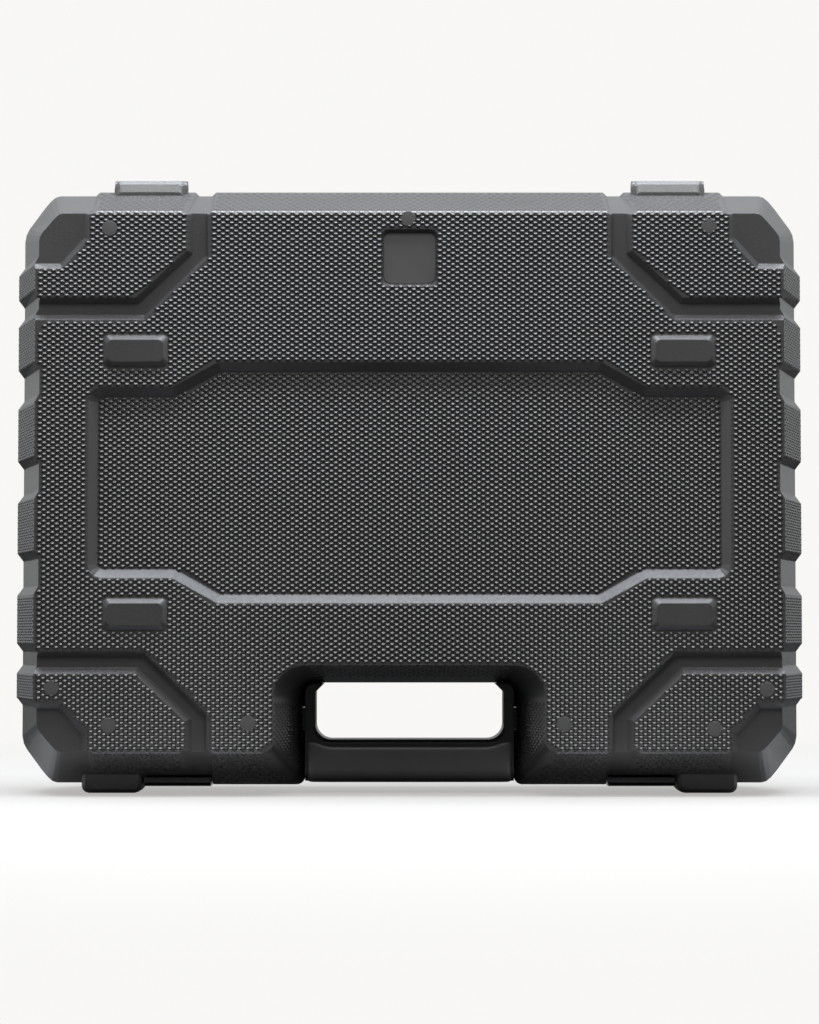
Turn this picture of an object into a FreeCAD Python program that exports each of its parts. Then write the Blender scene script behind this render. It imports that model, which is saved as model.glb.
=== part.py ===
import FreeCAD, Part
import Sketcher
import math
import os

# Blow-moulded tool case: two double-walled halves, a grip, snap latches and hinge pins.
# Millimetres. X is the width and Z is up, with the case standing on its grip side. The two
# halves meet at Y = 0: the base half lies towards -Y and the lid half towards +Y.

SIZES = {
    # both halves
    "base_depth": 56.4,
    "lid_depth": 59,
    "case_top": 329.8,
    "case_bottom": 4.0,
    "rib_half_width": 215.3,
    "seam": 0.3,
    "skin": 2.2,
    "overrun": 2.0,
    # draft from the seam to the outer face, and how far pads and ribs stand proud of the core
    "top_draft": 19.8,
    "bottom_draft": 20.2,
    "side_draft": 16.3,
    "top_proud": 2.1,
    "top_proud_outer": 0.7,
    "bottom_proud": 1.0,
    "side_proud": 3.3,
    "side_proud_outer": 2.5,
    "pad_proud": 3.5,
    "pad_bevel": 3.0,
    "field_line_bevel": 2.7,
    "field_turn_bevel": 2.0,
    "field_edge_bevel": 1.2,
    "wall_bevel": 2.2,
    "rib_bevel": 4.4,
    "corner_across": 19.4,
    "corner_upright": 25.5,
    "corner_outer_across": 12.4,
    "corner_outer_upright": 14,
    # grooves round the four corner pads: insets from the side, drops from top and bottom
    "groove_drop": 1.9,
    "field_edge_inset": 108.1,
    "field_edge_seam_inset": 106.4,
    "field_meet_inset": 74.3,
    "field_turn_drop": 41.9,
    "field_line_drop": 74.9,
    "pad_edge_inset": 96.8,
    "pad_edge_seam_inset": 99.4,
    "pad_meet_inset": 69.8,
    "pad_turn_drop": 37.9,
    "pad_line_drop": 63.1,
    "pad_end_inset": 44.8,
    "pad_end_seam_inset": 42.3,
    "pad_end_meet_inset": 30.5,
    "pad_end_turn_drop": 31.9,
    "pad_end_line_drop": 47.6,
    # recessed panel, its four rest feet and the small square recess
    "panel_drop": 0.5,
    "panel_end_inset": 44.8,
    "panel_side_half": 50.7,
    "panel_half_height": 64,
    "panel_meet_inset": 113.5,
    "panel_turn_inset": 89.5,
    "panel_deep": 4.5,
    "panel_bevel": 4.8,
    "panel_round": 7,
    "rest_foot_width": 34.8,
    "rest_foot_height": 17,
    "rest_foot_inset": 52.5,
    "rest_foot_gap": 10.7,
    "rest_foot_proud": 2.6,
    "rest_foot_bevel": 2.6,
    "rest_foot_round": 3,
    "square_width": 30.4,
    "square_top_gap": 8.6,
    "square_deep": 2.5,
    "square_bevel": 1.0,
    "square_round": 4.3,
    # notch for the hand
    "notch_half_outer": 72,
    "notch_half_ridge": 64,
    "notch_half_seam": 57,
    "notch_top_outer": 69.5,
    "notch_top_seam": 59.6,
    "notch_ridge_depth": 24,
    "notch_round_outer": 17,
    "notch_round_ridge": 12,
    "notch_round_seam": 5.5,
    "notch_foot_round": 4.5,
    # storage bays
    "bay_side_gap": 32.3,
    "bay_top_gap": 29.8,
    "bay_notch_gap": 16.5,
    "bay_divide_inset": 148.3,
    "bay_rib": 6,
    "bay_depth": 45,
    "bay_draft": 3,
    "bay_round": 12,
    "end_bay_notch_gap": 10,
    "end_bay_side_gap": 33.3,
    "end_bay_low": 34,
    "end_bay_depth": 34,
    "blow_hole": 6,
    # feet at the bottom, and the latch housings beside them
    "foot_inset": 37.3,
    "foot_width": 32.6,
    "foot_depth": 14.5,
    "foot_round": 4,
    "foot_bevel": 2,
    "pad_stop_depth": 20,
    "latch_inset": 71.1,
    "latch_width": 36.2,
    "latch_side_gap": 0.5,
    "housing_front": 13,
    "housing_back": 14.2,
    "housing_high": 13.9,
    "latch_front": 12.5,
    "latch_low": 3.6,
    "latch_thick": 5,
    "latch_pivot_depth": 7,
    "latch_pivot_high": 10,
    "latch_barrel": 3.2,
    "latch_slope": 2,
    "hook_width": 24,
    "hook_thick": 2.8,
    "hook_setback": 1.8,
    "hook_gap": 0.4,
    "catch_proud": 3.8,
    "catch_thick": 3,
    "latch_pin_radius": 1.2,
    "latch_pin_seat": 4.5,
    "pin_gap": 0.05,
    "pin_end_gap": 0.3,
    # hinges
    "hinge_inset": 53.1,
    "hinge_width": 39.8,
    "hinge_rise": 1.7,
    "knuckle_radius": 4.5,
    "knuckle_share_gap": 0.4,
    "base_knuckle": 9.6,
    "hinge_pin_radius": 1.6,
    "hinge_cap": 1.2,
    "boss_rise": 5.3,
    "boss_front": 10.5,
    "boss_lean": 1.6,
    "boss_lean_drop": 4.6,
    "boss_back": 5,
    "boss_sunk": 14,
    "boss_round": 4.4,
    "boss_bevel": 2.1,
    "boss_back_bevel": 1.6,
    # grip
    "grip_gap": 0.3,
    "grip_half_thick": 15,
    "grip_low": 6.4,
    "grip_high": 29,
    "grip_arm": 5.5,
    "grip_inner_round": 8.8,
    "grip_arm_round": 4.4,
    "grip_edge_round": 6,
    "grip_hole_edge": 1.8,
    "tongue_reach": 9,
    "tongue_half_thick": 6,
    "tongue_low": 34,
    "tongue_high": 46,
}

# upper and lower end of each side rib, as shares of the height from case_bottom to case_top
RIB_SPAN_SHARES = (
    (0.870, 0.802),
    (0.783, 0.683),
    (0.644, 0.529),
    (0.485, 0.374),
    (0.330, 0.223),
    (0.200, 0.133),
)

# points of a rounded corner, as shares of its width and of its height
CORNER_SHARES = (
    (1.0, 0.0), (0.86, 0.03), (0.72, 0.12), (0.56, 0.265), (0.12, 0.72), (0.04, 0.84), (0.0, 1.0),
)

# points of a quarter circle, as shares of its radius in from each of the two sides
ROUND_SHARES = ((1.0, 0.0), (0.5, 0.134), (0.134, 0.5), (0.0, 1.0))

BASE, LID = -1, 1
FLAT = 1e-5  # how far a fourth corner may lie off the plane of three, in mm
CUT_SHARE = 0.6  # of a corner's radius, cut off straight on the hidden side of its skin
ROUND_SHARE = 0.98  # largest corner radius, of half the width or height that it has to fit
RIB_BEVEL_SHARE = 1 / 3  # largest bevel of a rib, of its height
SIDES = {"left": -1, "right": 1}

doc = FreeCAD.newDocument("tool_case")
sizes = doc.addObject("Spreadsheet::Sheet", "sizes")
for row, (alias, value) in enumerate(SIZES.items(), start=1):
    sizes.set("A%d" % row, alias)
    sizes.set("B%d" % row, str(value))
    sizes.setAlias("B%d" % row, alias)
doc.recompute()


def blend(at_seam, at_outer, share):
    return at_seam + (at_outer - at_seam) * share


def in_from_side(inset_size):
    """Distance from the middle of the case of a place that is given from its side."""
    return sizes.rib_half_width - inset_size


def middle():
    return (sizes.case_top + sizes.case_bottom) / 2


def in_from_end(drop):
    """Distance from the middle of the case's height of a place given from top or bottom."""
    return sizes.case_top - middle() - drop


def polygon(*corners):
    return Part.Face(Part.makePolygon(list(corners) + [corners[0]]))


def prism(*sections):
    """Solid between outlines with straight edges. A section is (points, depth).

    A side that two matching edges don't hold in one plane is split along its diagonal.
    """
    rings = [[FreeCAD.Vector(x, depth, z) for x, z in points] for points, depth in sections]
    faces = [polygon(*rings[0]), polygon(*rings[-1])]
    for lower, upper in zip(rings, rings[1:]):
        for i, a in enumerate(lower):
            j = (i + 1) % len(lower)
            b, c, d = lower[j], upper[j], upper[i]
            twist = abs((b - a).cross(d - a).normalize().dot(c - a))
            if twist < FLAT:
                faces.append(polygon(a, b, c, d))
            else:
                faces += [polygon(a, b, c), polygon(a, c, d)]
    shell = Part.makeShell(faces)
    shell.sewShape()
    solid = Part.Solid(shell)
    if solid.Volume < 0:
        solid.reverse()
    return solid


def loft(*wires):
    """Ruled solid through wires whose corners are arcs."""
    solid = Part.makeLoft(list(wires), True, True)
    if solid.Volume < 0:
        solid.reverse()
    return solid


def both_sides(right_half):
    """Closed outline from its right half, given from top to bottom."""
    return right_half + [(-x, z) for x, z in reversed(right_half)]


def inset(points, *distances):
    """The outline with its edges moved inwards, corners kept sharp.

    Distances are those of the edges from each point to the next, or one that all of them share.
    """
    count = len(points)
    distances = distances * (count // len(distances))
    area = sum(
        points[i][0] * points[(i + 1) % count][1] - points[(i + 1) % count][0] * points[i][1]
        for i in range(count)
    )
    turn = math.copysign(1, area)
    moved = []
    for i, (x, z) in enumerate(points):
        before, after = points[i - 1], points[(i + 1) % count]
        ax, az = x - before[0], z - before[1]
        bx, bz = after[0] - x, after[1] - z
        a_long, b_long = math.hypot(ax, az), math.hypot(bx, bz)
        na = (-az / a_long * turn, ax / a_long * turn)
        nb = (-bz / b_long * turn, bx / b_long * turn)
        a_far, b_far, level = distances[i - 1], distances[i], na[0] * nb[0] + na[1] * nb[1]
        if a_far == b_far:
            a_share = b_share = a_far / (1 + level)
        else:
            a_share = (a_far - level * b_far) / (1 - level**2)
            b_share = (b_far - level * a_far) / (1 - level**2)
        moved.append((x + na[0] * a_share + nb[0] * b_share, z + na[1] * a_share + nb[1] * b_share))
    return moved


def rounded(centre_x, centre_z, width, height, radius, depth):
    """Rounded rectangle wire in the plane y = depth."""
    half_w, half_h = width / 2, height / 2
    radius = min(radius, half_w * ROUND_SHARE, half_h * ROUND_SHARE)
    bends = []
    for quarter, (sx, sz) in enumerate(((1, 1), (-1, 1), (-1, -1), (1, -1))):
        cx, cz = centre_x + sx * (half_w - radius), centre_z + sz * (half_h - radius)
        angles = [math.radians(90 * (quarter + step)) for step in (0, 0.5, 1)]
        bends.append(
            [
                FreeCAD.Vector(cx + radius * math.cos(angle), depth, cz + radius * math.sin(angle))
                for angle in angles
            ]
        )
    edges = []
    for i, bend in enumerate(bends):
        edges.append(Part.Arc(*bend).toShape())
        edges.append(Part.LineSegment(bend[2], bends[(i + 1) % 4][0]).toShape())
    return Part.Wire(edges)


def box(x_span, y_span, z_span):
    """Box between the lower and upper value of each span, in either order."""
    low = [min(span) for span in (x_span, y_span, z_span)]
    high = [max(span) for span in (x_span, y_span, z_span)]
    return Part.makeBox(*(b - a for a, b in zip(low, high)), FreeCAD.Vector(*low))


def mirrored(shape):
    return shape.mirror(FreeCAD.Vector(0, 0, 0), FreeCAD.Vector(1, 0, 0))


def left_and_right(*shapes):
    return list(shapes) + [mirrored(shape) for shape in shapes]


def rib_outline(rib_x, core_x):
    """Side profile from top to bottom: bevelled ribs that stand out from the core."""
    height = sizes.case_top - sizes.case_bottom
    points = []
    for upper, lower in RIB_SPAN_SHARES:
        high = sizes.case_bottom + height * upper
        low = sizes.case_bottom + height * lower
        bevel = min(sizes.rib_bevel, (high - low) * RIB_BEVEL_SHARE)
        points += [(core_x, high), (rib_x, high - bevel), (rib_x, low + bevel), (core_x, low)]
    return points


def levels(share):
    """Heights and half widths of pads and core, from the seam (0) to the outer face (1)."""
    top = sizes.case_top - sizes.top_draft * share
    bottom = sizes.case_bottom + sizes.bottom_draft * share
    rib = sizes.rib_half_width - sizes.side_draft * share
    return {
        "top": top,
        "top_core": top - blend(sizes.top_proud, sizes.top_proud_outer, share),
        "bottom": bottom,
        "bottom_core": bottom + sizes.bottom_proud,
        "rib": rib,
        "core": rib - blend(sizes.side_proud, sizes.side_proud_outer, share),
        "corner_across": blend(sizes.corner_across, sizes.corner_outer_across, share),
        "corner_upright": blend(sizes.corner_upright, sizes.corner_outer_upright, share),
    }


def corner_points(at, up):
    """Outline of the rounded corner, from the top or bottom edge to the side, in three runs."""
    edge = at["top_core"] if up > 0 else at["bottom_core"]
    return [
        (at["core"] - at["corner_across"] * across, edge - up * at["corner_upright"] * upright)
        for across, upright in CORNER_SHARES
    ]


def case_outline(share):
    """Outline with pads, grooves and ribs, at a share of the way from seam to outer face."""
    at = levels(share)
    field_edge = in_from_side(blend(sizes.field_edge_seam_inset, sizes.field_edge_inset, share))
    pad_edge = in_from_side(blend(sizes.pad_edge_seam_inset, sizes.pad_edge_inset, share))
    pad_end = in_from_side(blend(sizes.pad_end_seam_inset, sizes.pad_end_inset, share))
    bevel = sizes.wall_bevel
    top = [
        (field_edge - bevel, at["top"]),
        (field_edge, at["top_core"]),
        (pad_edge, at["top_core"]),
        (pad_edge + bevel, at["top"]),
        (pad_end - bevel, at["top"]),
        (pad_end, at["top_core"]),
    ]
    bottom = [
        (pad_end, at["bottom_core"]),
        (pad_end - bevel, at["bottom"]),
        (pad_edge + bevel, at["bottom"]),
        (pad_edge, at["bottom_core"]),
        (field_edge, at["bottom_core"]),
        (field_edge - bevel, at["bottom"]),
    ]
    side = corner_points(at, 1) + rib_outline(at["rib"], at["core"]) + corner_points(at, -1)[::-1]
    return both_sides(top + side + bottom)


def core_outline(share):
    """Outline of the core, without pads and ribs."""
    at = levels(share)
    return both_sides(corner_points(at, 1) + corner_points(at, -1)[::-1])


def relief(points, side, depth, deep, *bevels):
    """Tapered cutter: points is its outline at the outer face, and it narrows by its bevels."""
    grow = sizes.overrun / deep
    return prism(
        (inset(points, *[-bevel * grow for bevel in bevels]), side * (depth + sizes.overrun)),
        (inset(points, *bevels), side * (depth - deep)),
    )


def groove_reliefs(side, depth):
    """Grooves round the corner pads, and the lowered corners beyond those pads."""
    mid = middle() - sizes.groove_drop
    far_x = sizes.rib_half_width + sizes.corner_outer_across
    far_z = sizes.case_top - mid + sizes.corner_outer_upright
    field_edge = in_from_side(sizes.field_edge_inset)
    field_line = in_from_end(sizes.field_line_drop)
    pad_edge, pad_line = in_from_side(sizes.pad_edge_inset), in_from_end(sizes.pad_line_drop)
    pad_end, pad_end_line = in_from_side(sizes.pad_end_inset), in_from_end(sizes.pad_end_line_drop)
    groove = [
        (pad_edge, far_z),
        (pad_edge, in_from_end(sizes.pad_turn_drop)),
        (in_from_side(sizes.pad_meet_inset), pad_line),
        (far_x, pad_line),
        (far_x, field_line),
        (in_from_side(sizes.field_meet_inset), field_line),
        (field_edge, in_from_end(sizes.field_turn_drop)),
        (field_edge, far_z),
    ]
    corner = [
        (pad_end, far_z),
        (pad_end, in_from_end(sizes.pad_end_turn_drop)),
        (in_from_side(sizes.pad_end_meet_inset), pad_end_line),
        (far_x, pad_end_line),
        (far_x, far_z),
    ]
    line_bevel, edge_bevel = sizes.field_line_bevel, sizes.field_edge_bevel
    groove_bevels = [sizes.pad_bevel] * 4
    groove_bevels += [line_bevel, sizes.field_turn_bevel, edge_bevel, edge_bevel]
    cutters = []
    for points, bevels in ((groove, groove_bevels), (corner, [sizes.pad_bevel])):
        for up in (1, -1):
            placed = [(x, mid + up * z) for x, z in points]
            cutters.append(relief(placed, side, depth, sizes.pad_proud, *bevels))
    return left_and_right(*cutters)


def panel_relief(side, depth):
    """Large recessed panel, taller in its middle than at its ends."""
    mid = middle() - sizes.panel_drop
    side_half, end = sizes.panel_side_half, in_from_side(sizes.panel_end_inset)
    right = [
        (in_from_side(sizes.panel_meet_inset), sizes.panel_half_height),
        (in_from_side(sizes.panel_turn_inset), side_half),
    ]
    right += [
        (end - sizes.panel_round * across, side_half - sizes.panel_round * upright)
        for across, upright in ROUND_SHARES
    ]
    right += [(x, -z) for x, z in reversed(right)]
    points = [(x, mid + z) for x, z in both_sides(right)]
    return relief(points, side, depth, sizes.panel_deep, sizes.panel_bevel)


def square_relief(side, depth):
    """Small square recess near the top edge."""
    outer_top = sizes.case_top - sizes.top_draft
    centre = outer_top - sizes.square_top_gap - sizes.square_width / 2
    inner = sizes.square_width - 2 * sizes.square_bevel
    return loft(
        rounded(0, centre, sizes.square_width, sizes.square_width, sizes.square_round,
                side * (depth + sizes.overrun)),
        rounded(0, centre, sizes.square_width, sizes.square_width, sizes.square_round,
                side * depth),
        rounded(0, centre, inner, inner, sizes.square_round, side * (depth - sizes.square_deep)),
    )


def rest_feet(side, depth):
    """Four low bevelled feet that the case lies on."""
    mid = middle() - sizes.panel_drop
    less = 2 * sizes.rest_foot_bevel
    feet = []
    width, height = sizes.rest_foot_width, sizes.rest_foot_height
    across = in_from_side(sizes.rest_foot_inset) - width / 2
    upright = sizes.panel_side_half + sizes.rest_foot_gap + height / 2
    for up in (1, -1):
        centre, bend = mid + up * upright, sizes.rest_foot_round
        feet.append(
            loft(
                rounded(across, centre, width, height, bend, side * (depth - sizes.overrun)),
                rounded(across, centre, width, height, bend, side * depth),
                rounded(across, centre, width - less, height - less, bend,
                        side * (depth + sizes.rest_foot_proud)),
            )
        )
    return left_and_right(*feet)


def notch_floor():
    """Height below the case that the notch's cutters run down to."""
    return sizes.case_bottom - sizes.overrun


def notch_wire(half, top, radius, foot, depth):
    """Upright opening that runs out below the case, with rounded corners above and below."""
    low, flare = notch_floor(), sizes.notch_foot_round
    bend, flare_bend = (size * (1 - math.sqrt(0.5)) for size in (radius, flare))
    right = [
        (half + flare, low),
        (half + flare, foot),
        (half + flare_bend, foot + flare_bend),
        (half, foot + flare),
        (half, top - radius),
        (half - bend, top - bend),
        (half - radius, top),
    ]
    corners = [FreeCAD.Vector(x, depth, z) for x, z in both_sides(right)]
    edges = []
    for first, kind in ((0, 1), (1, 2), (3, 1), (4, 2), (6, 1), (7, 2), (9, 1), (10, 2), (12, 1), (13, 1)):
        ends = [corners[(first + step) % len(corners)] for step in range(kind + 1)]
        edges.append((Part.LineSegment if kind == 1 else Part.Arc)(*ends).toShape())
    return Part.Wire(edges)


def notch_sections(depth):
    """Half width, ceiling, corner radius, lower edge and depth of the notch, seam first."""
    ridge, past = sizes.notch_ridge_depth, sizes.overrun
    slope = (sizes.notch_top_outer - sizes.notch_top_seam) / depth
    flare = (sizes.notch_half_outer - sizes.notch_half_ridge) / (depth - ridge)
    rise = sizes.bottom_draft / depth
    seam = (sizes.notch_half_seam, sizes.notch_top_seam, sizes.notch_round_seam, sizes.case_bottom)
    return [
        seam + (-past,),
        seam + (0,),
        (sizes.notch_half_ridge, sizes.notch_top_seam + slope * ridge, sizes.notch_round_ridge,
         sizes.case_bottom + rise * ridge, ridge),
        (sizes.notch_half_outer + flare * past, sizes.notch_top_outer + slope * past,
         sizes.notch_round_outer, sizes.case_bottom + rise * (depth + past), depth + past),
    ]


def notch(side, depth):
    """Room for the hand: side walls in two facets and a sloping ceiling."""
    return loft(
        *(notch_wire(*section, side * at) for *section, at in notch_sections(depth))
    )


def notch_with_skin(side, depth):
    """The notch and the skin round it, with its corners cut off straight."""
    sections = []
    for half, top, radius, _, at in notch_sections(depth):
        half, top, cut = half + sizes.skin, top + sizes.skin, radius * CUT_SHARE
        right = [(half - cut, top), (half, top - cut), (half, notch_floor())]
        sections.append((both_sides(right), side * at))
    return prism(*sections)


def bay(x_span, z_span, side, deep):
    """Drafted pocket with rounded corners that opens at the seam."""
    centre_x, centre_z = sum(x_span) / 2, sum(z_span) / 2
    width, height = x_span[1] - x_span[0], z_span[1] - z_span[0]
    less = 2 * sizes.bay_draft
    radius = sizes.bay_round
    return loft(
        rounded(centre_x, centre_z, width, height, radius, -side * sizes.overrun),
        rounded(centre_x, centre_z, width, height, radius, 0),
        rounded(centre_x, centre_z, width - less, height - less, radius - sizes.bay_draft,
                side * deep),
    )


def bay_with_skin(x_span, z_span, side, deep):
    """The pocket and the skin round it, with its corners cut off straight."""
    sections = []
    for at, less in ((-sizes.overrun, 0), (0, 0), (deep + sizes.skin, sizes.bay_draft)):
        grow = sizes.skin - less
        cut = (sizes.bay_round - less) * CUT_SHARE
        left, right = x_span[0] - grow, x_span[1] + grow
        low, high = z_span[0] - grow, z_span[1] + grow
        points = [
            (right - cut, high), (right, high - cut), (right, low + cut), (right - cut, low),
            (left + cut, low), (left, low + cut), (left, high - cut), (left + cut, high),
        ]
        sections.append((points, side * at))
    return prism(*sections)


def bay_spans(side):
    """Places of the bays: (x span, z span, depth). The base's big bay is divided in two."""
    bay_low = sizes.notch_top_outer + sizes.bay_notch_gap
    tall = (bay_low, sizes.case_top - sizes.bay_top_gap)
    extra = (sizes.lid_depth - sizes.base_depth) if side == LID else 0
    far = in_from_side(sizes.bay_side_gap)
    if side == BASE:
        half_rib, divide = sizes.bay_rib / 2, in_from_side(sizes.bay_divide_inset)
        spans = [
            ((-far, divide - half_rib), tall, sizes.bay_depth),
            ((divide + half_rib, far), tall, sizes.bay_depth),
        ]
    else:
        spans = [((-far, far), tall, sizes.bay_depth + extra)]
    low = (sizes.end_bay_low, bay_low - sizes.bay_rib)
    near, end = sizes.notch_half_outer + sizes.end_bay_notch_gap, in_from_side(sizes.end_bay_side_gap)
    spans.append(((near, end), low, sizes.end_bay_depth))
    spans.append(((-end, -near), low, sizes.end_bay_depth))
    return spans


def latch_far():
    return in_from_side(sizes.latch_inset)


def latch_near():
    return latch_far() - sizes.latch_width


def latch_housing(side, grow=0):
    """Room for one latch under the right-hand side, open at the seam and below."""
    gap = sizes.latch_side_gap
    if grow:
        gap += sizes.latch_pin_seat + grow
    reach = sizes.housing_front if side == BASE else sizes.housing_back
    return box(
        (latch_near() - gap, latch_far() + gap),
        (-side * sizes.overrun, side * (reach + grow)),
        (sizes.case_bottom - sizes.overrun, sizes.housing_high + grow),
    )


def latch_pin_axis():
    return FreeCAD.Vector(0, sizes.latch_pivot_depth, sizes.latch_pivot_high)


def rod(radius, x_from, x_to, axis):
    """Cylinder along X through axis."""
    start = FreeCAD.Vector(x_from, axis.y, axis.z)
    return Part.makeCylinder(radius, x_to - x_from, start, FreeCAD.Vector(1, 0, 0))


def tongue_socket(side, grow=0):
    """Half of the pocket that holds the grip's tongue, on the right-hand wall of the notch."""
    gap = sizes.grip_gap + grow
    return box(
        (sizes.notch_half_seam - sizes.overrun, sizes.notch_half_seam + sizes.tongue_reach + gap),
        (-side * sizes.overrun, side * (sizes.tongue_half_thick + gap)),
        (sizes.tongue_low - gap, sizes.tongue_high + gap),
    )


def air_space(side, depth):
    """Closed space between the outer skin and the bays' skin, left by blow moulding."""
    near = sizes.seam / 2 + sizes.skin
    far = depth - sizes.panel_deep - sizes.skin
    space = prism(
        (inset(core_outline(near / depth), sizes.skin), side * near),
        (inset(core_outline(far / depth), sizes.skin), side * far),
    )
    solids = [bay_with_skin(xs, zs, side, deep) for xs, zs, deep in bay_spans(side)]
    solids.append(notch_with_skin(side, depth))
    solids += left_and_right(latch_housing(side, sizes.skin), tongue_socket(side, sizes.skin))
    return space.cut(solids)


def blow_hole(side):
    """Hole where air was blown in, from the side of a bay into the air space."""
    centre = FreeCAD.Vector(0, side * sizes.bay_depth / 2, middle())
    start = in_from_side(sizes.bay_side_gap) - sizes.bay_draft
    return rod(sizes.blow_hole / 2, start, start + sizes.blow_hole + sizes.skin, centre)


def pad_stop(side, depth):
    """Cutter that ends the lower corner pads short of the seam, level with the core."""
    band = box(
        (latch_near() - sizes.latch_side_gap, in_from_side(sizes.foot_inset)),
        (-side * sizes.overrun, side * sizes.pad_stop_depth),
        (sizes.case_bottom - sizes.overrun, sizes.case_bottom + sizes.bottom_draft),
    )
    core = prism(
        (core_outline(0), -side * sizes.overrun),
        (core_outline(0), 0),
        (core_outline(1), side * depth),
    )
    return band.cut(core)


def round_ended(x_span, end, root, radius):
    """Upright outline whose two corners at its free end are rounded, and whose root is square."""
    near, far = x_span
    up = math.copysign(1, end - root)
    bend = [(radius * across, end - up * radius * upright) for across, upright in ROUND_SHARES]
    return (
        [(near, root), (far, root)]
        + [(far - across, z) for across, z in reversed(bend)]
        + [(near + across, z) for across, z in bend]
    )


def foot(side):
    """Rounded foot beside the latch that the case stands on."""
    far = in_from_side(sizes.foot_inset)
    outline = round_ended((far - sizes.foot_width, far), 0, sizes.housing_high, sizes.foot_round)
    return prism(
        (outline, side * sizes.seam / 2),
        (outline, side * (sizes.foot_depth - sizes.foot_bevel)),
        (inset(outline, sizes.foot_bevel), side * sizes.foot_depth),
    )


def hinge_axis():
    return FreeCAD.Vector(0, 0, sizes.case_top + sizes.hinge_rise)


def hinge_span():
    """Inner and outer end of the right-hand hinge."""
    far = in_from_side(sizes.hinge_inset)
    return far - sizes.hinge_width, far


def knuckle_spans(side):
    """Stretches of one hinge that belong to this half: two outer ones or the middle one."""
    near, far = hinge_span()
    if side == BASE:
        return [(near, near + sizes.base_knuckle), (far - sizes.base_knuckle, far)]
    gap = sizes.knuckle_share_gap
    return [(near + sizes.base_knuckle + gap, far - sizes.base_knuckle - gap)]


def knuckles(side):
    return [rod(sizes.knuckle_radius, a, b, hinge_axis()) for a, b in knuckle_spans(side)]


def knuckle_reliefs(side):
    """Room in this half for the other half's knuckles as they turn."""
    gap = sizes.knuckle_share_gap
    return [
        rod(sizes.knuckle_radius + gap, a - gap, b + gap, hinge_axis())
        for a, b in knuckle_spans(-side)
    ]


def hinge_bore():
    """Bore for the hinge pin, closed at its outer end."""
    near, far = hinge_span()
    bore = sizes.hinge_pin_radius + sizes.pin_gap
    return rod(bore, near - sizes.overrun, far - sizes.hinge_cap, hinge_axis())


def hinge_boss():
    """Smooth rounded block in front of each hinge, on the base half. Its front leans back."""
    high = sizes.case_top + sizes.boss_rise
    outline = round_ended(hinge_span(), high, high - sizes.boss_sunk, sizes.boss_round)
    brow = inset(outline, sizes.boss_bevel)
    lower_brow = [(x, z - sizes.boss_lean_drop) for x, z in brow]
    brow_depth, back_bevel = sizes.boss_front - sizes.boss_lean, sizes.boss_back_bevel
    return prism(
        (lower_brow, -sizes.boss_front),
        (brow, -brow_depth),
        (outline, -brow_depth + sizes.boss_bevel),
        (outline, -sizes.boss_back - back_bevel),
        (inset(outline, back_bevel), -sizes.boss_back),
    )


def catch():
    """Ridge in the base's housing that the latch hook passes behind."""
    front = -sizes.latch_front + sizes.hook_setback + sizes.hook_thick + sizes.hook_gap
    centre = latch_far() - sizes.latch_width / 2
    return box(
        (centre - sizes.hook_width / 2, centre + sizes.hook_width / 2),
        (front, front + sizes.catch_thick),
        (sizes.housing_high - sizes.catch_proud, sizes.housing_high + sizes.skin),
    )


def case_half(side, depth):
    """One moulded half of the case, with its air space, bays, notch, feet and hinge parts."""
    form = prism((case_outline(0), side * sizes.seam / 2), (case_outline(1), side * depth))
    cutters = groove_reliefs(side, depth) + [panel_relief(side, depth)]
    if side == BASE:
        cutters.append(square_relief(side, depth))
    cutters += left_and_right(pad_stop(side, depth))
    form = form.cut(cutters)
    added = left_and_right(foot(side), *knuckles(side))
    if side == BASE:
        added += rest_feet(side, depth) + left_and_right(hinge_boss())
    form = form.fuse(added)
    form = form.cut(air_space(side, depth))
    holes = [bay(xs, zs, side, deep) for xs, zs, deep in bay_spans(side)]
    holes += [notch(side, depth), blow_hole(side)]
    holes += left_and_right(
        latch_housing(side), tongue_socket(side), hinge_bore(), *knuckle_reliefs(side)
    )
    if side == LID:
        seat = sizes.latch_pin_seat
        bore = sizes.latch_pin_radius + sizes.pin_gap
        holes += left_and_right(
            rod(bore, latch_near() - seat, latch_far() + seat, latch_pin_axis())
        )
    form = form.cut(holes)
    if side == BASE:
        form = form.fuse(left_and_right(catch()))
    return form.removeSplitter()


def add_half(name, side, depth):
    feature = doc.addObject("Part::Feature", name)
    feature.Label = name
    shape = case_half(side, depth)
    feature.Shape = shape.Solids[0] if len(shape.Solids) == 1 else shape
    feature.Placement = FreeCAD.Placement()
    return feature


class Term:
    """A sheet value, or a sum of them, with the text of the same sum as an expression."""

    def __init__(self, value, text):
        self.value, self.text = value, text

    def __add__(self, other):
        return Term(self.value + other.value, "(%s + %s)" % (self.text, other.text))

    def __sub__(self, other):
        return Term(self.value - other.value, "(%s - %s)" % (self.text, other.text))

    def __neg__(self):
        return Term(-self.value, "(-%s)" % self.text)


def cell(alias):
    return Term(getattr(sizes, alias), "sizes." + alias)


ZERO = Term(0, "0")


def new_sketch(body, name, role):
    sketch = body.newObject("Sketcher::SketchObject", name)
    plane = next(item for item in body.Origin.OriginFeatures if item.Role == role)
    sketch.AttachmentSupport = (plane, "")
    sketch.MapMode = "FlatFace"
    return sketch


def fix_point(sketch, geometry, end, across, upright):
    """Tie one end of a sketch line to the origin by two expressions."""
    for kind, term in (("DistanceX", across), ("DistanceY", upright)):
        index = sketch.addConstraint(Sketcher.Constraint(kind, -1, 1, geometry, end, term.value))
        sketch.setExpression("Constraints[%d]" % index, term.text)


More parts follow.
